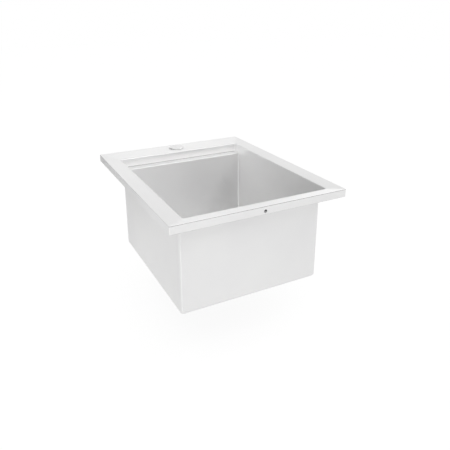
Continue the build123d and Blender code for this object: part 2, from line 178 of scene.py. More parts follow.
foamFinish = {
    "colour": (0.19, 0.19, 0.195),
    "darkColour": (0.08, 0.08, 0.082),
    "roughLow": 0.80,
    "roughHigh": 0.94,
    "speckleScale": 1500.0,
    "bump": 0.70,
    "bumpReach": 0.00025,
}
padFinish = {
    "colour": (0.085, 0.085, 0.086),
    "darkColour": (0.050, 0.050, 0.051),
    "roughLow": 0.62,
    "roughHigh": 0.82,
    "speckleScale": 600.0,
    "bump": 0.45,
    "bumpReach": 0.0003,
}
fibreFinish = {
    "colour": (0.46, 0.33, 0.20),
    "darkColour": (0.33, 0.22, 0.12),
    "roughLow": 0.72,
    "roughHigh": 0.88,
    "speckleScale": 1100.0,
    "bump": 0.35,
    "bumpReach": 0.00012,
}
plasticFinish = {
    "colour": (0.84, 0.84, 0.81),
    "darkColour": (0.78, 0.78, 0.75),
    "roughLow": 0.36,
    "roughHigh": 0.48,
    "speckleScale": 500.0,
    "bump": 0.06,
    "bumpReach": 0.00008,
}

# Detail and roughness of the noise behind each pattern
noiseLooks = {
    "brushing": (4.0, 0.65),
    "brushedClouds": (3.0, 0.5),
    "grain": (4.0, 0.6),
    "clouds": (3.0, 0.55),
    "speckle": (5.0, 0.6),
}


def newMaterial(name):
    material = bpy.data.materials.new(name)
    material.use_nodes = True
    material.cycles.emission_sampling = "NONE"
    tree = material.node_tree
    tree.nodes.clear()
    return material, tree


def stretched(tree, source, scale):
    mapping = tree.nodes.new("ShaderNodeMapping")
    mapping.inputs["Scale"].default_value = scale
    tree.links.new(source, mapping.inputs["Vector"])
    return mapping.outputs["Vector"]


def noiseOn(tree, vector, scale, look):
    noise = tree.nodes.new("ShaderNodeTexNoise")
    noise.inputs["Scale"].default_value = scale
    noise.inputs["Detail"].default_value, noise.inputs["Roughness"].default_value = noiseLooks[look]
    tree.links.new(vector, noise.inputs["Vector"])
    return noise.outputs["Fac"]


# Spreads a value over a new range; noise mostly lies between the two preset limits
def remapped(tree, value, low, high, fromLow=0.3, fromHigh=0.7):
    ranged = tree.nodes.new("ShaderNodeMapRange")
    ranged.inputs["From Min"].default_value = fromLow
    ranged.inputs["From Max"].default_value = fromHigh
    ranged.inputs["To Min"].default_value = low
    ranged.inputs["To Max"].default_value = high
    tree.links.new(value, ranged.inputs["Value"])
    return ranged.outputs["Result"]


# Mixes two colours, each given as numbers or as a socket. The node has sockets for other kinds of
# value too, and its colours come in at 6 and 7 and go out at 2.
def mixedColour(tree, factor, first, second):
    mix = tree.nodes.new("ShaderNodeMix")
    mix.data_type = "RGBA"
    for socket, colour in ((6, first), (7, second)):
        if isinstance(colour, tuple):
            mix.inputs[socket].default_value = (*colour, 1.0)
        else:
            tree.links.new(colour, mix.inputs[socket])
    tree.links.new(factor, mix.inputs[0])
    return mix.outputs[2]


def bumpFrom(tree, height, strength, distance):
    bump = tree.nodes.new("ShaderNodeBump")
    bump.inputs["Strength"].default_value = strength
    bump.inputs["Distance"].default_value = distance
    tree.links.new(height, bump.inputs["Height"])
    return bump.outputs["Normal"]


# A finish whose colour follows one pattern, and its roughness and relief another
def finishedShader(tree, finish, clouds, grain, metallic):
    lightShare = remapped(tree, clouds, 0.0, 1.0)
    colour = mixedColour(tree, lightShare, finish["darkColour"], finish["colour"])
    roughness = remapped(tree, grain, finish["roughLow"], finish["roughHigh"])
    normal = bumpFrom(tree, grain, finish["bump"], finish["bumpReach"])
    shader = tree.nodes.new("ShaderNodeBsdfPrincipled")
    shader.inputs["Metallic"].default_value = metallic
    tree.links.new(colour, shader.inputs["Base Color"])
    tree.links.new(roughness, shader.inputs["Roughness"])
    tree.links.new(normal, shader.inputs["Normal"])
    output = tree.nodes.new("ShaderNodeOutputMaterial")
    tree.links.new(shader.outputs["BSDF"], output.inputs["Surface"])
    return shader, colour


# Long-grain brushing follows the piece's own UV map: u runs along the grain, v across it.
# The attribute shade is painted shade: it darkens the colour where shade falls, in the hollow under
# the rim and in the creases.
def brushedSteel(name, finish):
    material, tree = newMaterial(name)
    grainMap = tree.nodes.new("ShaderNodeUVMap")
    grainMap.uv_map = "grain"
    place = tree.nodes.new("ShaderNodeTexCoord").outputs["Object"]
    grainScale = (finish["grainAlong"], finish["grainAcross"], 1.0)
    lines = noiseOn(tree, stretched(tree, grainMap.outputs["UV"], grainScale), 1.0, "brushing")
    clouds = noiseOn(tree, place, finish["cloudScale"], "brushedClouds")
    shader, colour = finishedShader(tree, finish, clouds, lines, 1.0)
    # Painted shade: the shade attribute mixes the colour towards the near black shade colour
    shade = tree.nodes.new("ShaderNodeAttribute")
    shade.attribute_name = "shade"
    shaded = mixedColour(tree, shade.outputs["Fac"], colour, finish["shadeColour"])
    tree.links.new(shaded, shader.inputs["Base Color"])
    shader.inputs["Anisotropic"].default_value = finish["anisotropy"]
    shader.inputs["Anisotropic Rotation"].default_value = finish["grainTurn"]
    tangent = tree.nodes.new("ShaderNodeTangent")
    tangent.direction_type = "UV_MAP"
    tangent.uv_map = "grain"
    tree.links.new(tangent.outputs["Tangent"], shader.inputs["Tangent"])
    return material


def plainMetal(name, finish):
    material, tree = newMaterial(name)
    place = tree.nodes.new("ShaderNodeTexCoord").outputs["Object"]
    grain = noiseOn(tree, stretched(tree, place, finish["grainScale"]), 1.0, "grain")
    clouds = noiseOn(tree, place, finish["cloudScale"], "clouds")
    finishedShader(tree, finish, clouds, grain, 1.0)
    return material


def softFinish(name, finish):
    material, tree = newMaterial(name)
    place = tree.nodes.new("ShaderNodeTexCoord").outputs["Object"]
    speckle = noiseOn(tree, place, finish["speckleScale"], "speckle")
    finishedShader(tree, finish, speckle, speckle, 0.0)
    return material


materials = {
    "brushed_stainless": brushedSteel("brushedStainless", brushedFinish),
    "mill_stainless": plainMetal("millStainless", millFinish),
    "polished_stainless": plainMetal("polishedStainless", polishedFinish),
    "zinc_plated_steel": plainMetal("zincPlatedSteel", zincFinish),
    "chromed_brass": plainMetal("chromedBrass", chromeFinish),
    "cast_zinc": plainMetal("castZinc", castFinish),
    "black_rubber": softFinish("blackRubber", rubberFinish),
    "foam_seal": softFinish("foamTape", foamFinish),
    "damping_rubber": softFinish("dampingRubber", padFinish),
    "fibre": softFinish("pressedFibre", fibreFinish),
    "white_plastic": softFinish("whitePlastic", plasticFinish),
}
slotOfNode = {part["node"]: part["material_slot"] for part in frame["record"]["subparts"]}
bodyOfNode = {}
for body, members in frame["record"]["behaviour"]["bodies"].items():
    for member in members:
        bodyOfNode[member] = body
for nodeName, node in nodes.items():
    node.data.materials.clear()
    node.data.materials.append(materials[slotOfNode[nodeName]])
print("materials made")

dressing = {
    "mergeDistance": 0.00001,
    "flatAngle": math.radians(0.6),
    "sharpAngle": math.radians(32.0),
    "flatShare": 0.62,
    "flatWeight": 100,
    "edgeRound": 0.00035,
    "edgeSteps": 2,
    "edgeProfile": 0.5,
}
# Painted shade: shares by which the steel's colour darkens where shade falls, and where: heights,
# reaches and the tilt of the faces meant
shading = {
    "paintedHollowShade": 0.90,
    "paintedShadeFoot": 0.024,
    "paintedShadeTop": 0.004,
    "hollowInset": 0.001,
    "hollowFoot": 0.002,
    "hollowTilt": 0.5,
    "crevice": 0.55,
    "creviceReach": 0.004,
    "creviceTilt": 0.1,
    "fold": 0.6,
    "foldReach": 0.002,
    "foldTilts": (0.05, 0.72),
}


# Grain map of a face, along and across the grain: it runs along y on flat faces and level on walls
def wallGrain(face, place):
    normal = face.normal
    if abs(normal.z) > dressing["flatShare"]:
        return place.y, place.x
    if abs(normal.x) > abs(normal.y):
        return place.y, place.z
    return place.x, place.z


# The rim's grain runs along each of its four lands
def rimGrain(face, place):
    normal = face.normal
    if abs(normal.z) <= dressing["flatShare"]:
        return wallGrain(face, place)
    middle = face.calc_center_median()
    if besideMouth(middle):
        return place.y, place.x
    return place.x, place.y


bowlLow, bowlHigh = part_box("bowl_shell")
rimLow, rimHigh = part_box("deck_rim")
bowlCentreY = (bowlLow.y + bowlHigh.y) / 2


# True where a point of the rim belongs to one of its two side lands
def besideMouth(point):
    reachX = (abs(point.x) - bowlHigh.x) / (rimHigh.x - bowlHigh.x)
    if point.y > 0:
        reachY = (point.y - bowlHigh.y) / (rimHigh.y - bowlHigh.y)
    else:
        reachY = (bowlLow.y - point.y) / (bowlLow.y - rimLow.y)
    return reachX > reachY


# Planes through the rim's four mitred corners, where its grain turns
def mitrePlanes():
    planes = []
    for cornerX in (-1, 1):
        for bowlY, rimY in ((bowlLow.y, rimLow.y), (bowlHigh.y, rimHigh.y)):
            inner = Vector((cornerX * bowlHigh.x, bowlY, 0.0))
            outer = Vector((cornerX * rimHigh.x, rimY, 0.0))
            along = (outer - inner).normalized()
            planes.append((inner, Vector((-along.y, along.x, 0.0))))
    return planes


def linkObject(name, mesh):
    piece = bpy.data.objects.new(name, mesh)
    bpy.context.scene.collection.objects.link(piece)
    return piece


# Weighted normals keep the flat faces flat beside their round edges
def bakeModifiers(piece, weighted=True):
    if weighted:
        steady = piece.modifiers.new("flatsStayFlat", "WEIGHTED_NORMAL")
        steady.weight = dressing["flatWeight"]
        steady.keep_sharp = True
    graph = bpy.context.evaluated_depsgraph_get()
    mesh = bpy.data.meshes.new_from_object(piece.evaluated_get(graph))
    piece.modifiers.clear()
    old = piece.data
    piece.data = mesh
    bpy.data.meshes.remove(old)


def seated(piece, nodeNames, body, slotName):
    piece.data.materials.clear()
    piece.data.materials.append(materials[slotName])
    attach(piece, body)
    if nodeNames:
        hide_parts(*nodeNames)


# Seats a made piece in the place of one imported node
def standIn(piece, nodeName):
    seated(piece, [nodeName], bodyOfNode[nodeName], slotOfNode[nodeName])


# Painted shade on the bowl at a point: dark in the hollow under the rim, fading out below it,
# and a dark line in the rear ledge's crease
def bowlShade(face, place):
    normal, middle = face.normal, face.calc_center_median()
    # Painted shade where the rim's hollow shades the bowl's outside, fading out downwards
    if middle.z > -shading["paintedShadeFoot"] and outsideBowl(middle, normal):
        share = (place.z + shading["paintedShadeFoot"]) / (shading["paintedShadeFoot"] - shading["paintedShadeTop"])
        return shading["paintedHollowShade"] * min(1.0, max(0.0, share))
    # Painted shade: a dark line in the concave crease of the rear ledge
    away = max(abs(middle.y - rearCrease.y), abs(middle.z - rearCrease.z))
    if away < shading["creviceReach"] and min(normal.z, -normal.y) > shading["creviceTilt"]:
        return shading["crevice"]
    return 0.0


# Painted shade on the rim: dark inside its hollow, and a thin dark line low on the front fold
def rimShade(face, place):
    normal, middle = face.normal, face.calc_center_median()
    inset = min(rimHigh.x - abs(middle.x), rimHigh.y - abs(middle.y))
    inHollow = inset > shading["hollowInset"] and middle.z > rimLow.z + shading["hollowFoot"]
    # Painted shade inside the rim's hollow
    if inHollow and normal.z < shading["hollowTilt"]:
        return shading["paintedHollowShade"]
    # Painted shade: a thin dark line standing in for the shaded front fold
    leastTilt, mostTilt = shading["foldTilts"]
    if middle.y < rimLow.y + shading["foldReach"] and leastTilt < normal.z < mostTilt:
        return shading["fold"]
    return 0.0


# Whether a wall of the bowl shows its outside there
def outsideBowl(middle, normal):
    fromMiddle = Vector((middle.x, middle.y - bowlCentreY, 0.0))
    return normal.dot(fromMiddle) > 0.0


def noShade(face, place):
    return 0.0


# Rounds the edges that stand out sharply
def roundEdges(form, reach):
    sharp = []
    for edge in form.edges:
        outwards = len(edge.link_faces) == 2 and edge.is_convex
        if outwards and edge.calc_face_angle() > dressing["sharpAngle"]:
            sharp.append(edge)
    bmesh.ops.bevel(
        form, geom=sharp, offset=reach, segments=dressing["edgeSteps"],
        profile=dressing["edgeProfile"], affect="EDGES", clamp_overlap=True,
    )


# Whether a face lies in a run's turned surface
def touchesThread(face, run):
    gaps = [abs(math.dist(vertex.co.xy, run["axis"]) - run["radius"]) for vertex in face.verts]
    upright = abs(face.normal.z) < threadSizes["wallTilt"]
    return upright and max(gaps) < run["radius"] * threadSizes["faceSlack"]


# The faces of a run's turned surface that lie between its two ends
def bandOf(form, run):
    slack = run["pitch"] * threadSizes["pitchSlack"]
    band = []
    for face in form.faces:
        heights = [vertex.co.z for vertex in face.verts]
        inRun = min(heights) > run["low"] - slack and max(heights) < run["high"] + slack
        if inRun and touchesThread(face, run):
            band.append(face)
    return band


# Faces with their edges and corners, each once and always in the same order
def partsOf(faces):
    parts = {}
    for face in faces:
        parts.update(dict.fromkeys([face, *face.edges, *face.verts]))
    return list(parts)


# Slices a turned surface into rings close enough together for a thread to show between them
def sliceBand(form, run):
    turned = {face for face in form.faces if touchesThread(face, run)}
    inner = [edge for edge in form.edges if edge.link_faces and turned.issuperset(edge.link_faces)]
    bmesh.ops.dissolve_limit(form, angle_limit=dressing["flatAngle"], verts=[], edges=inner)
    turned = {face for face in form.faces if touchesThread(face, run)}
    between = [vertex for vertex in form.verts if len(vertex.link_edges) == 2]
    between = [vertex for vertex in between if turned.intersection(vertex.link_faces)]
    bmesh.ops.dissolve_verts(form, verts=between)
    upwards = Vector((0.0, 0.0, 1.0))
    for level in (run["low"], run["high"]):
        crossing = []
        for face in form.faces:
            heights = [vertex.co.z for vertex in face.verts]
            if min(heights) < level < max(heights) and touchesThread(face, run):
                crossing.append(face)
        if crossing:
            geom = partsOf(crossing)
            bmesh.ops.bisect_plane(form, geom=geom, plane_co=upwards * level, plane_no=upwards)
    heightOf = {}
    for face in bandOf(form, run):
        for edge in face.edges:
            along = edge.verts[1].co - edge.verts[0].co
            if along.xy.length < run["pitch"] * threadSizes["pitchSlack"]:
                heightOf[edge] = abs(along.z)
    steps = int(max(heightOf.values()) / run["pitch"] * threadSizes["stepsPerTurn"])
    bmesh.ops.subdivide_edges(form, edges=list(heightOf), cuts=steps, use_grid_fill=True)


# A merged copy of a imported piece, with its grain map, its painted shade and smooth turned faces
def dressedMesh(nodeName, grainOf, shadeOf=noShade, cuts=(), rounded=False, runs=()):
    mesh = nodes[nodeName].data.copy()
    mesh.name = nodeName + "_dressed"
    form = bmesh.new()
    form.from_mesh(mesh)
    bmesh.ops.remove_doubles(form, verts=form.verts, dist=dressing["mergeDistance"])
    if rounded:
        bmesh.ops.dissolve_limit(
            form, angle_limit=dressing["flatAngle"], delimit={"NORMAL"},
            verts=form.verts, edges=form.edges,
        )
        roundEdges(form, dressing["edgeRound"])
    for point, normal in cuts:
        everything = form.verts[:] + form.edges[:] + form.faces[:]
        bmesh.ops.bisect_plane(form, geom=everything, plane_co=point, plane_no=normal)
    for run in runs:
        sliceBand(form, run)
    form.normal_update()
    for edge in form.edges:
        edge.smooth = len(edge.link_faces) == 2 and edge.calc_face_angle() < dressing["sharpAngle"]
    grain = form.loops.layers.uv.get("grain") or form.loops.layers.uv.new("grain")
    shade = form.loops.layers.float.new("shade")
    for face in form.faces:
        face.smooth = True
        for loop in face.loops:
            loop[grain].uv = grainOf(face, loop.vert.co)
            loop[shade] = shadeOf(face, loop.vert.co)
    form.to_mesh(mesh)
    form.free()
    return mesh


def dressedCopy(nodeName, grainOf, shadeOf=noShade, cuts=(), rounded=False):
    piece = linkObject(nodeName + "_dressed", dressedMesh(nodeName, grainOf, shadeOf, cuts, rounded))
    bakeModifiers(piece)
    standIn(piece, nodeName)


# How level the ledge is, the lowest it may lie, and how far it lies below the rim at the least
ledgeSearch = {"level": 0.99, "lowest": -0.1, "belowRim": 0.005}


# Where the bowl's upper back wall meets its ledge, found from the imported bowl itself
def findRearCrease():
    mesh = nodes["bowl_shell"].data
    lowest, highest = ledgeSearch["lowest"], rimHigh.z - ledgeSearch["belowRim"]
    ledges = []
    for face in mesh.polygons:
        atHeight = lowest < face.center.z < highest and face.normal.z > ledgeSearch["level"]
        if atHeight and face.center.y > bowlCentreY:
            ledges.append(face)
    backmost = max(mesh.vertices[index].co.y for face in ledges for index in face.vertices)
    return Vector((0.0, backmost, ledges[0].center.z))


rearCrease = findRearCrease()
# The bowl is cut where its painted shade has faded out
paintedShadeCut = (Vector((0.0, 0.0, -shading["paintedShadeFoot"])), Vector((0.0, 0.0, 1.0)))
dressedCopy("bowl_shell", wallGrain, bowlShade, [paintedShadeCut])
dressedCopy("deck_rim", rimGrain, rimShade, mitrePlanes())
print("bowl and rim dressed")

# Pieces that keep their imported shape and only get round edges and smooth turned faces
clipCorners = ("left_front", "left_rear", "right_front", "right_rear")
squarePieces = ["tap_channel", "left_rail", "right_rail", "tap_cover_bar", "tap_cover_wing_nut"]
squarePieces += ["strainer_lock_nut", "coupling_nut", "stopper_nut"]
for corner in clipCorners:
    squarePieces += ["clip_claw_" + corner, "clip_washer_" + corner, "clip_nut_" + corner]
for nodeName in squarePieces:
    dressedCopy(nodeName, wallGrain, rounded=True)
for nodeName in ("basket", "basket_knob", "tailpiece"):
    dressedCopy(nodeName, wallGrain)
print("metal pieces dressed")


# Node helpers
def newTree(name):
    tree = bpy.data.node_groups.new(name, "GeometryNodeTree")
    tree.interface.new_socket(name="Geometry", in_out="INPUT", socket_type="NodeSocketGeometry")
    tree.interface.new_socket(name="Geometry", in_out="OUTPUT", socket_type="NodeSocketGeometry")
    entry = tree.nodes.new("NodeGroupInput")
    return tree, entry


def addInputs(tree, sizes):
    for name, value in sizes.items():
        socket = tree.interface.new_socket(name=name, in_out="INPUT", socket_type="NodeSocketFloat")
        socket.default_value = value
    tree.interface.new_socket(name="Material", in_out="INPUT", socket_type="NodeSocketMaterial")


def maths(tree, operation, *values):
    node = tree.nodes.new("ShaderNodeMath")
    node.operation = operation
    for index, value in enumerate(values):
        if isinstance(value, (int, float)):
            node.inputs[index].default_value = value
        else:
            tree.links.new(value, node.inputs[index])
    return node.outputs["Value"]


def finishTree(tree, entry, geometry):
    realised = tree.nodes.new("GeometryNodeRealizeInstances")
    coated = tree.nodes.new("GeometryNodeSetMaterial")
    leave = tree.nodes.new("NodeGroupOutput")
    tree.links.new(geometry, realised.inputs["Geometry"])
    tree.links.new(realised.outputs["Geometry"], coated.inputs["Geometry"])
    tree.links.new(entry.outputs["Material"], coated.inputs["Material"])
    tree.links.new(coated.outputs["Geometry"], leave.inputs["Geometry"])


def addTreeModifier(piece, tree, values):
    modifier = piece.modifiers.new(tree.name, "NODES")
    modifier.node_group = tree
    for item in tree.interface.items_tree:
        if item.item_type == "SOCKET" and item.in_out == "INPUT" and item.name in values:
            modifier[item.identifier] = values[item.name]


# Slacks are shares of a run's radius or pitch
threadSizes = {
    "stepsPerTurn": 6,
    "faceSlack": 0.006,
    "cutSlack": 0.012,
    "pitchSlack": 0.1,
    "wallTilt": 0.3,
    "pastEnd": 0.001,
    "boltHead": 0.006,
    "studHead": 0.009,
    "bolt": {"radius": 0.003, "pitch": 0.001, "depth": 0.0005},
    "cup": {"radius": 0.0417, "pitch": 0.0021, "depth": 0.0007, "low": -0.2775, "high": -0.2455},
    "neck": {"radius": 0.0239, "pitch": 0.0018, "depth": 0.0009, "low": -0.3036, "high": -0.2868},
}


# A helical thread cut into a turned face: points near the given radius move in by the thread's wave
def threadTree():
    tree, entry = newTree("threadCut")
    bolt = threadSizes["bolt"]
    addInputs(tree, {
        "Axis X": 0.0, "Axis Y": 0.0, "Radius": bolt["radius"],
        "Low": 0.0, "High": 1.0, "Pitch": bolt["pitch"], "Depth": bolt["depth"],
    })
    place = tree.nodes.new("GeometryNodeInputPosition")
    split = tree.nodes.new("ShaderNodeSeparateXYZ")
    tree.links.new(place.outputs["Position"], split.inputs["Vector"])
    height = split.outputs["Z"]
    sideX = maths(tree, "SUBTRACT", split.outputs["X"], entry.outputs["Axis X"])
    sideY = maths(tree, "SUBTRACT", split.outputs["Y"], entry.outputs["Axis Y"])
    squareX = maths(tree, "MULTIPLY", sideX, sideX)
    reach = maths(tree, "SQRT", maths(tree, "ADD", squareX, maths(tree, "MULTIPLY", sideY, sideY)))
    turn = maths(tree, "DIVIDE", maths(tree, "ARCTAN2", sideY, sideX), 2 * math.pi)
    phase = maths(tree, "SUBTRACT", maths(tree, "DIVIDE", height, entry.outputs["Pitch"]), turn)
    wave = maths(tree, "PINGPONG", maths(tree, "FRACT", phase), 0.5)
    fromLow = maths(tree, "SUBTRACT", height, entry.outputs["Low"])
    fromHigh = maths(tree, "SUBTRACT", entry.outputs["High"], height)
    runOut = maths(tree, "DIVIDE", maths(tree, "MINIMUM", fromLow, fromHigh), entry.outputs["Pitch"])
    fade = maths(tree, "MINIMUM", maths(tree, "MAXIMUM", runOut, 0.0), 1.0)
    offFace = maths(tree, "ABSOLUTE", maths(tree, "SUBTRACT", reach, entry.outputs["Radius"]))
    slack = maths(tree, "MULTIPLY", entry.outputs["Radius"], threadSizes["cutSlack"])
    onFace = maths(tree, "LESS_THAN", offFace, slack)
    doubleDepth = maths(tree, "MULTIPLY", entry.outputs["Depth"], 2.0)  # the wave reaches a half
    cut = maths(tree, "MULTIPLY", doubleDepth, maths(tree, "MULTIPLY", wave, fade))
    inwards = maths(tree, "MULTIPLY", maths(tree, "MULTIPLY", cut, onFace), -1.0)
    inwards = maths(tree, "DIVIDE", inwards, reach)
    offset = tree.nodes.new("ShaderNodeCombineXYZ")
    tree.links.new(maths(tree, "MULTIPLY", sideX, inwards), offset.inputs["X"])
    tree.links.new(maths(tree, "MULTIPLY", sideY, inwards), offset.inputs["Y"])
    moved = tree.nodes.new("GeometryNodeSetPosition")
    tree.links.new(entry.outputs["Geometry"], moved.inputs["Geometry"])
    tree.links.new(offset.outputs["Vector"], moved.inputs["Offset"])
    finishTree(tree, entry, moved.outputs["Geometry"])
    return tree


threadCut = threadTree()


def threadedCopy(nodeName, runs):
    piece = linkObject(nodeName + "_threaded", dressedMesh(nodeName, wallGrain, runs=runs))
    for run in runs:
        addTreeModifier(piece, threadCut, {
            "Axis X": run["axis"][0], "Axis Y": run["axis"][1], "Radius": run["radius"],
            "Low": run["low"], "High": run["high"], "Pitch": run["pitch"], "Depth": run["depth"],
            "Material": materials[slotOfNode[nodeName]],
        })
    bakeModifiers(piece)
    standIn(piece, nodeName)


def middleOf(nodeName):
    low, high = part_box(nodeName)
    return (low.x + high.x) / 2, (low.y + high.y) / 2


boltLow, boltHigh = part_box("clip_bolts")
boltRuns = []
for corner in clipCorners:
    boltRuns.append({
        **threadSizes["bolt"], "axis": middleOf("clip_washer_" + corner),
        "low": boltLow.z - threadSizes["pastEnd"], "high": boltHigh.z - threadSizes["boltHead"],
    })
threadedCopy("clip_bolts", boltRuns)
studLow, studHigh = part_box("tap_cover")
threadedCopy("tap_cover", [{
    **threadSizes["bolt"], "axis": middleOf("tap_cover"),
    "low": studLow.z - threadSizes["pastEnd"], "high": studHigh.z - threadSizes["studHead"],
}])
drainPlace = middleOf("strainer_body")
threadedCopy("strainer_body", [
    {**threadSizes["cup"], "axis": drainPlace},
    {**threadSizes["neck"], "axis": drainPlace},
])
print("threads cut")

# Spot welds: shallow lens-shaped marks where the rails and the channel are welded to the lands
spotWelds = {
    "radius": 0.0024,
    "height": 0.00022,
    "segments": 16,
    "rings": 8,
    "spacing": 0.048,
    "endGap": 0.020,
    "railWeb": 0.0012,
    "channelWeb": 0.0015,
    "channelRow": 0.0235,
}


def spotWeldTree():
    tree, entry = newTree("spotWelds")
    addInputs(tree, {"Radius": spotWelds["radius"], "Height": spotWelds["height"]})
    lens = tree.nodes.new("GeometryNodeMeshUVSphere")
    lens.inputs["Segments"].default_value = spotWelds["segments"]
    lens.inputs["Rings"].default_value = spotWelds["rings"]
    lens.inputs["Radius"].default_value = 1.0
    squash = tree.nodes.new("ShaderNodeCombineXYZ")
    tree.links.new(entry.outputs["Radius"], squash.inputs["X"])
    tree.links.new(entry.outputs["Radius"], squash.inputs["Y"])
    tree.links.new(entry.outputs["Height"], squash.inputs["Z"])
    spread = tree.nodes.new("GeometryNodeInstanceOnPoints")
    tree.links.new(entry.outputs["Geometry"], spread.inputs["Points"])
    tree.links.new(lens.outputs["Mesh"], spread.inputs["Instance"])
    tree.links.new(squash.outputs["Vector"], spread.inputs["Scale"])
    finishTree(tree, entry, spread.outputs["Instances"])
    return tree


def evenly(low, high, spacing):
    count = max(2, int((high - low) / spacing) + 1)
    return [low + (high - low) * index / (count - 1) for index in range(count)]


def placeSpotWelds():
    points = []
    endGap = spotWelds["endGap"]
    for railName in ("left_rail", "right_rail"):
        low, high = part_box(railName)
        for y in evenly(low.y + endGap, high.y - endGap, spotWelds["spacing"]):
            points.append(((low.x + high.x) / 2, y, high.z - spotWelds["railWeb"]))
    low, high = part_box("tap_channel")
    for x in evenly(low.x + endGap, high.x - endGap, spotWelds["spacing"]):
        if abs(x) > spotWelds["channelRow"]:
            points.append((x, (low.y + high.y) / 2, high.z - spotWelds["channelWeb"]))
    mesh = bpy.data.meshes.new("spotWelds")
    mesh.from_pydata(points, [], [])
    piece = linkObject("spotWelds", mesh)
    addTreeModifier(piece, spotWeldTree(), {
        "Radius": spotWelds["radius"], "Height": spotWelds["height"],
        "Material": materials["mill_stainless"],
    })
    bakeModifiers(piece, weighted=False)
    for polygon in piece.data.polygons:
        polygon.use_smooth = True
    seated(piece, [], "sink", "mill_stainless")


placeSpotWelds()
print("spot welds placed")


# A closed ring swept round an axis from a section given as (reach, height) pairs
def sweptRing(name, section, place, turns):
    form = bmesh.new()
    rows = []
    for turn in range(turns):
        angle = 2 * math.pi * turn / turns
        row = []
        for reach, height in section:
            sideX, sideY = reach * math.cos(angle), reach * math.sin(angle)
            row.append(form.verts.new((place[0] + sideX, place[1] + sideY, height)))
        rows.append(row)
    count = len(section)
    for turn in range(turns):
        here, there = rows[turn], rows[(turn + 1) % turns]
        for index in range(count):
            after = (index + 1) % count
            form.faces.new((here[index], there[index], there[after], here[after]))
    bmesh.ops.recalc_face_normals(form, faces=form.faces)
    for face in form.faces:
        face.smooth = True
    mesh = bpy.data.meshes.new(name)
    form.to_mesh(mesh)
    form.free()
    return linkObject(name, mesh)


# Pushes a circle's sine or cosine towards a square's: 1 stays round, and near 0 is square
def squarish(value, roundness):
    return math.copysign(abs(value) ** roundness, value)


# Outer and inner reach of a packed ring from its own axis
def reachesOf(nodeName):
    place = middleOf(nodeName)
    reaches = [math.dist(place, vertex.co.xy) for vertex in nodes[nodeName].data.vertices]
    return min(reaches), max(reaches)


mouldedRings = {
    "strainer_seal": {"roundness": 0.55, "grooves": 3, "grooveDepth": 0.10},
    "strainer_washer": {"roundness": 0.35, "grooves": 4, "grooveDepth": 0.12},
    "strainer_friction_ring": {"roundness": 0.30, "grooves": 0, "grooveDepth": 0.0},
    "tap_cover_seal": {"roundness": 0.50, "grooves": 2, "grooveDepth": 0.10},
    "tail_washer": {"roundness": 0.40, "grooves": 1, "grooveDepth": 0.10},
}
mouldedSteps = {"section": 40, "turns": 96}


# Fills the space of a packed ring with a rounded section that has shallow grooves in both faces
def mouldedRing(nodeName, mould):
    low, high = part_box(nodeName)
    inner, outer = reachesOf(nodeName)
    middleReach, halfReach = (inner + outer) / 2, (outer - inner) / 2
    middleHeight, halfHeight = (low.z + high.z) / 2, (high.z - low.z) / 2
    section = []
    for step in range(mouldedSteps["section"]):
        angle = 2 * math.pi * step / mouldedSteps["section"]
        across = squarish(math.cos(angle), mould["roundness"])
        up = squarish(math.sin(angle), mould["roundness"])
        groove = 0.5 - 0.5 * math.cos(2 * math.pi * mould["grooves"] * (across + 1.0) / 2)
        up *= 1.0 - mould["grooveDepth"] * 2 * groove * (1.0 - abs(across))
        section.append((middleReach + halfReach * across, middleHeight + halfHeight * up))
    ring = sweptRing(nodeName + "_moulded", section, middleOf(nodeName), mouldedSteps["turns"])
    standIn(ring, nodeName)


for nodeName, mould in mouldedRings.items():
    mouldedRing(nodeName, mould)

# The rubber stopper's section, as shares of its reach and of its height
stopperForm = {
    "lipFoot": 0.5,
    "lipHeight": 0.25,
    "lipInset": 0.055,
    "domeReach": 0.62,
    "domeHeight": 0.70,
    "bossReach": 0.36,
    "soleRecess": 0.16,
    "turns": 96,
    "levels": 2,
}


def stopperPiece():
    low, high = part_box("basket_stopper")
    inner, outer = reachesOf("basket_stopper")
    height = high.z - low.z
    shape = stopperForm
    lip = low.z + height * shape["lipHeight"]
    lipEnd = outer * (1.0 - shape["lipInset"])
    soleEnd = outer * (1.0 - 2 * shape["lipInset"])
    boss, dome = outer * shape["bossReach"], outer * shape["domeReach"]
    section = [
        (inner, low.z),
        (boss, low.z),
        (dome, low.z + height * shape["soleRecess"]),
        (soleEnd, low.z + height * shape["soleRecess"] / 2),
        (lipEnd, low.z),
        (outer, low.z + (lip - low.z) * shape["lipFoot"]),
        (outer, lip),
        (lipEnd, lip + height * shape["lipHeight"]),
        (dome, low.z + height * shape["domeHeight"]),
        (boss, high.z),
        (inner, high.z),
    ]
    piece = sweptRing("basket_stopper_moulded", section, middleOf("basket_stopper"), shape["turns"])
    smoother = piece.modifiers.new("softRubber", "SUBSURF")
    smoother.levels = shape["levels"]
    smoother.render_levels = shape["levels"]
    bakeModifiers(piece, weighted=False)
    standIn(piece, "basket_stopper")


stopperPiece()
print("rubber pieces moulded")

# Foam tape: a soft square section, run round under the rim's hem to a butt joint with itself
foamTape = {
    "width": 0.006,
    "corner": 0.003,
    "bulge": 0.45,
    "cornerSteps": 6,
    "edgeStep": 0.02,
    "sectionSteps": 16,
    "waver": 0.00018,
    "waverTurns": (1.7, 0.61),
    "jointGap": 0.0006,
    "jointY": 0.18,
}


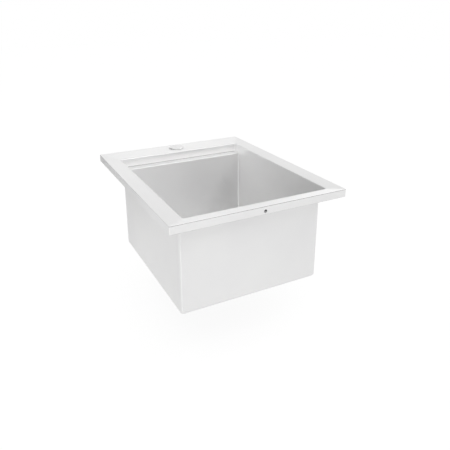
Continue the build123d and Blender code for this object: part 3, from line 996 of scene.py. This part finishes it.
# Points along the tape's middle, each with its outward direction
def tapePath(halfX, halfY, corner):
    path = []
    for signX, signY, start in ((1, 1, 0.0), (-1, 1, 90.0), (-1, -1, 180.0), (1, -1, 270.0)):
        centre = Vector((signX * (halfX - corner), signY * (halfY - corner)))
        for step in range(foamTape["cornerSteps"] + 1):
            angle = math.radians(start + 90.0 * step / foamTape["cornerSteps"])
            outwards = Vector((math.cos(angle), math.sin(angle)))
            path.append((centre + corner * outwards, outwards))
    filled = []
    for index, (point, outwards) in enumerate(path):
        after = path[(index + 1) % len(path)][0]
        filled.append((point, outwards))
        gap = (after - point).length
        if gap > foamTape["edgeStep"]:
            count = int(gap / foamTape["edgeStep"])
            filled += [(point.lerp(after, step / count), outwards) for step in range(1, count)]
    return filled


def tapePiece():
    low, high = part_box("rim_seal")
    halfWidth = foamTape["width"] / 2
    path = tapePath(high.x - halfWidth, high.y - halfWidth, foamTape["corner"])
    joint = Vector((high.x, foamTape["jointY"]))
    start = min(range(len(path)), key=lambda index: (path[index][0] - joint).length)
    path = path[start:] + path[:start]
    fastTurn, slowTurn = foamTape["waverTurns"]
    form = bmesh.new()
    rows = []
    for index, (point, outwards) in enumerate(path):
        if index == 0:
            point = point + Vector((-outwards.y, outwards.x)) * foamTape["jointGap"]
        wave = 0.5 + 0.5 * math.sin(index * fastTurn) * math.sin(index * slowTurn)
        waver = 1.0 - foamTape["waver"] / halfWidth * wave
        row = []
        for step in range(foamTape["sectionSteps"]):
            angle = 2 * math.pi * step / foamTape["sectionSteps"]
            across = squarish(math.cos(angle), foamTape["bulge"]) * halfWidth * waver
            up = squarish(math.sin(angle), foamTape["bulge"]) * (high.z - low.z) / 2
            place = point + outwards * across
            row.append(form.verts.new((place.x, place.y, (low.z + high.z) / 2 + up)))
        rows.append(row)
    for here, there in zip(rows, rows[1:]):
        for index in range(len(here)):
            after = (index + 1) % len(here)
            form.faces.new((here[index], there[index], there[after], here[after]))
    form.faces.new(rows[0])
    form.faces.new(rows[-1])
    bmesh.ops.recalc_face_normals(form, faces=form.faces)
    for face in form.faces:
        face.smooth = len(face.verts) == 4
    mesh = bpy.data.meshes.new("rim_seal_tape")
    form.to_mesh(mesh)
    form.free()
    standIn(linkObject("rim_seal_tape", mesh), "rim_seal")


tapePiece()
print("foam tape laid")

# Damping pad: its packed outline, with soft edges and a waffle pressed into the face that shows
dampingPad = {
    "edgeRound": 0.0008,
    "cell": 0.003,
    "cellsPerPitch": 5,
    "ridge": 0.3,
    "depth": 0.0010,
    "margin": 0.004,
    "downTilt": -0.98,
}


# Presses a waffle into the faces that look down: points between the ridges move up
def waffleTree():
    tree, entry = newTree("waffle")
    pitch = dampingPad["cell"] * dampingPad["cellsPerPitch"]
    addInputs(tree, {
        "Start X": 0.0, "Start Y": 0.0, "Pitch X": pitch, "Pitch Y": pitch,
        "Ridge": dampingPad["ridge"], "Depth": dampingPad["depth"],
    })
    place = tree.nodes.new("GeometryNodeInputPosition")
    split = tree.nodes.new("ShaderNodeSeparateXYZ")
    tree.links.new(place.outputs["Position"], split.inputs["Vector"])
    hollows = []
    for axis in ("X", "Y"):
        along = maths(tree, "SUBTRACT", split.outputs[axis], entry.outputs["Start " + axis])
        turns = maths(tree, "DIVIDE", along, entry.outputs["Pitch " + axis])
        wave = maths(tree, "COSINE", maths(tree, "MULTIPLY", turns, 2 * math.pi))
        raised = maths(tree, "SUBTRACT", entry.outputs["Ridge"], wave)
        hollows.append(maths(tree, "MINIMUM", maths(tree, "MAXIMUM", raised, 0.0), 1.0))
    hollow = maths(tree, "MULTIPLY", hollows[0], hollows[1])
    press = maths(tree, "MULTIPLY", hollow, entry.outputs["Depth"])
    inside = tree.nodes.new("GeometryNodeInputNamedAttribute")
    inside.data_type = "FLOAT"
    inside.inputs["Name"].default_value = "pressed"
    offset = tree.nodes.new("ShaderNodeCombineXYZ")
    tree.links.new(maths(tree, "MULTIPLY", press, inside.outputs["Attribute"]), offset.inputs["Z"])
    moved = tree.nodes.new("GeometryNodeSetPosition")
    tree.links.new(entry.outputs["Geometry"], moved.inputs["Geometry"])
    tree.links.new(offset.outputs["Vector"], moved.inputs["Offset"])
    finishTree(tree, entry, moved.outputs["Geometry"])
    return tree


# Cuts faces across one axis at rising levels, a strip at a time
def cutStrips(form, axis, levels, faces):
    normal = Vector((float(axis == 0), float(axis == 1), float(axis == 2)))
    slack = dressing["mergeDistance"]

    def lowest(face):
        return min(vertex.co[axis] for vertex in face.verts)

    def reaches(face, level):
        return max(vertex.co[axis] for vertex in face.verts) > level + slack

    waiting = sorted(faces, key=lowest, reverse=True)
    starts = [lowest(face) for face in waiting]
    active = []
    for level in levels:
        while starts and starts[-1] < level - slack:
            starts.pop()
            active.append(waiting.pop())
        crossing = [face for face in active if reaches(face, level)]
        active = []
        if not crossing:
            continue
        geom = partsOf(crossing)
        done = bmesh.ops.bisect_plane(form, geom=geom, plane_co=normal * level, plane_no=normal)
        for part in done["geom"]:
            if isinstance(part, bmesh.types.BMFace) and reaches(part, level):
                active.append(part)


def gridLevels(low, high, cell):
    steps = max(2, round((high - low) / cell))
    return [low + (high - low) * index / steps for index in range(steps + 1)]


def padPiece():
    low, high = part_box("sound_pad")
    mesh = nodes["sound_pad"].data.copy()
    mesh.name = "sound_pad_pressed"
    form = bmesh.new()
    form.from_mesh(mesh)
    bmesh.ops.remove_doubles(form, verts=form.verts, dist=dressing["mergeDistance"])
    bmesh.ops.dissolve_limit(
        form, angle_limit=dressing["flatAngle"], verts=form.verts, edges=form.edges,
    )
    roundEdges(form, dampingPad["edgeRound"])
    bmesh.ops.triangulate(form, faces=form.faces)
    levelsX = gridLevels(low.x, high.x, dampingPad["cell"])
    levelsY = gridLevels(low.y, high.y, dampingPad["cell"])
    cutStrips(form, 0, levelsX, form.faces)
    cutStrips(form, 1, levelsY, form.faces)
    form.normal_update()
    pressed = form.verts.layers.float.new("pressed")
    for vertex in form.verts:
        looksDown = all(face.normal.z < dampingPad["downTilt"] for face in vertex.link_faces)
        toSide = min(high.x - abs(vertex.co.x), vertex.co.y - low.y, high.y - vertex.co.y)
        toDrain = math.dist(vertex.co.xy, drainPlace) - padHole
        deep = looksDown and min(toSide, toDrain) > dampingPad["margin"]
        vertex[pressed] = 1.0 if deep else 0.0
    for face in form.faces:
        face.smooth = True
    form.to_mesh(mesh)
    form.free()
    piece = linkObject("sound_pad_pressed", mesh)
    addTreeModifier(piece, waffleTree(), {
        "Start X": low.x, "Start Y": low.y, "Ridge": dampingPad["ridge"], "Depth": dampingPad["depth"],
        "Pitch X": (levelsX[1] - levelsX[0]) * dampingPad["cellsPerPitch"],
        "Pitch Y": (levelsY[1] - levelsY[0]) * dampingPad["cellsPerPitch"],
        "Material": materials["damping_rubber"],
    })
    bakeModifiers(piece)
    standIn(piece, "sound_pad")


padHole = min(math.dist(vertex.co.xy, drainPlace) for vertex in nodes["sound_pad"].data.vertices)
padPiece()
print("damping pad pressed")


def makeCamera(fit):
    yaw = math.radians(fit["yaw"])
    pitch = math.radians(fit["pitch"])
    forward = Vector((
        -math.sin(yaw) * math.cos(pitch),
        math.cos(yaw) * math.cos(pitch),
        -math.sin(pitch),
    ))
    right = forward.cross(Vector((0.0, 0.0, 1.0))).normalized()
    up = right.cross(forward)
    turn = Matrix((right, up, -forward)).transposed().to_4x4()
    lens = bpy.data.cameras.new("photoCamera")
    lens.lens = fit["lens"]
    lens.sensor_width = fit["sensor"]
    lens.shift_y = fit["shiftY"]
    lens.clip_end = fit["clipEnd"]
    camera = bpy.data.objects.new("photoCamera", lens)
    camera.matrix_world = Matrix.Translation(fit["place"]) @ turn
    bpy.context.scene.collection.objects.link(camera)
    bpy.context.scene.camera = camera


# 1 where a ray has come by a glossy surface or through a clear one
def glossRays(tree, path):
    return maths(tree, "MAXIMUM", path.outputs["Is Glossy Ray"], path.outputs["Is Transmission Ray"])


# A flat sheet with one face, laid by the given matrix
def makeSheet(name, turned, width, height, material):
    corners = []
    for sideX, sideY in ((-0.5, -0.5), (0.5, -0.5), (0.5, 0.5), (-0.5, 0.5)):
        corners.append(turned @ Vector((width * sideX, height * sideY, 0.0)))
    mesh = bpy.data.meshes.new(name)
    mesh.from_pydata(corners, [], [(0, 1, 2, 3)])
    mesh.materials.append(material)
    return linkObject(name, mesh)


# Pale floor: what the camera sees is mostly its own white, with the soft shadow kept in it
def makeFloor():
    material, tree = newMaterial("paleFloor")
    path = tree.nodes.new("ShaderNodeLightPath")
    gloss = glossRays(tree, path)
    diffuse = tree.nodes.new("ShaderNodeBsdfDiffuse")
    diffuse.inputs["Color"].default_value = (*studio["floorColour"], 1.0)
    white = tree.nodes.new("ShaderNodeEmission")
    white.inputs["Color"].default_value = (*studio["background"], 1.0)
    strength = remapped(tree, gloss, studio["floorLevel"], studio["floorGloss"], 0.0, 1.0)
    tree.links.new(strength, white.inputs["Strength"])
    whiteShare = 1.0 - studio["floorShadow"]
    seenShare = remapped(tree, path.outputs["Is Camera Ray"], 0.0, whiteShare, 0.0, 1.0)
    mix = tree.nodes.new("ShaderNodeMixShader")
    tree.links.new(maths(tree, "MAXIMUM", seenShare, gloss), mix.inputs["Fac"])
    tree.links.new(diffuse.outputs["BSDF"], mix.inputs[1])
    tree.links.new(white.outputs["Emission"], mix.inputs[2])
    output = tree.nodes.new("ShaderNodeOutputMaterial")
    tree.links.new(mix.outputs["Shader"], output.inputs["Surface"])
    level = Matrix.Translation((0.0, 0.0, cadBox[0][2] - studio["floorDrop"]))
    width = 2 * studio["floorReach"]
    floor = makeSheet("floor", level, width, width, material)


# Even light all round, and plain white where the camera or the gloss sees the sky
def makeSky():
    world = bpy.data.worlds.new("studioSky")
    bpy.context.scene.world = world
    world.use_nodes = True
    world.cycles.sampling_method = "NONE"
    tree = world.node_tree
    tree.nodes.clear()
    sky = tree.nodes.new("ShaderNodeBackground")
    sky.inputs["Color"].default_value = (*studio["skyColour"], 1.0)
    sky.inputs["Strength"].default_value = studio["skyLevel"]
    seen = tree.nodes.new("ShaderNodeBackground")
    seen.inputs["Color"].default_value = (*studio["background"], 1.0)
    seen.inputs["Strength"].default_value = studio["backgroundLevel"]
    mix = tree.nodes.new("ShaderNodeMixShader")
    path = tree.nodes.new("ShaderNodeLightPath")
    shown = maths(tree, "MAXIMUM", path.outputs["Is Camera Ray"], glossRays(tree, path))
    tree.links.new(shown, mix.inputs["Fac"])
    tree.links.new(sky.outputs["Background"], mix.inputs[1])
    tree.links.new(seen.outputs["Background"], mix.inputs[2])
    output = tree.nodes.new("ShaderNodeOutputWorld")
    tree.links.new(mix.outputs["Shader"], output.inputs["Surface"])


# Turned so that its face looks at the sink
def facingSink(place):
    towards = Vector(studio["aim"]) - Vector(place)
    return Matrix.Translation(place) @ towards.to_track_quat("-Z", "Y").to_matrix().to_4x4()


def makeLamp(name, box):
    lamp = bpy.data.lights.new(name, "AREA")
    lamp.shape = "RECTANGLE"
    lamp.size, lamp.size_y = box["size"]
    lamp.energy = box["power"]
    lampObject = bpy.data.objects.new(name, lamp)
    lampObject.matrix_world = facingSink(box["place"])
    lampObject.visible_camera = False
    bpy.context.scene.collection.objects.link(lampObject)


def makeCard(name, card):
    material, tree = newMaterial(name)
    grey = tree.nodes.new("ShaderNodeEmission")
    grey.inputs["Color"].default_value = (card["level"], card["level"], card["level"], 1.0)
    output = tree.nodes.new("ShaderNodeOutputMaterial")
    tree.links.new(grey.outputs["Emission"], output.inputs["Surface"])
    width, height = card["size"]
    cardObject = makeSheet(name, facingSink(card["place"]), width, height, material)
    cardObject.visible_camera = False
    cardObject.visible_diffuse = False
    cardObject.visible_shadow = False
    cardObject.visible_transmission = False


makeCamera(cameraFit)
makeFloor()
makeSky()
for lampName, softBox in softBoxes.items():
    makeLamp(lampName, softBox)
for cardName, glossCard in glossCards.items():
    makeCard(cardName, glossCard)
bpy.context.scene.view_settings.view_transform = "Standard"
print("camera, floor and lamps placed")
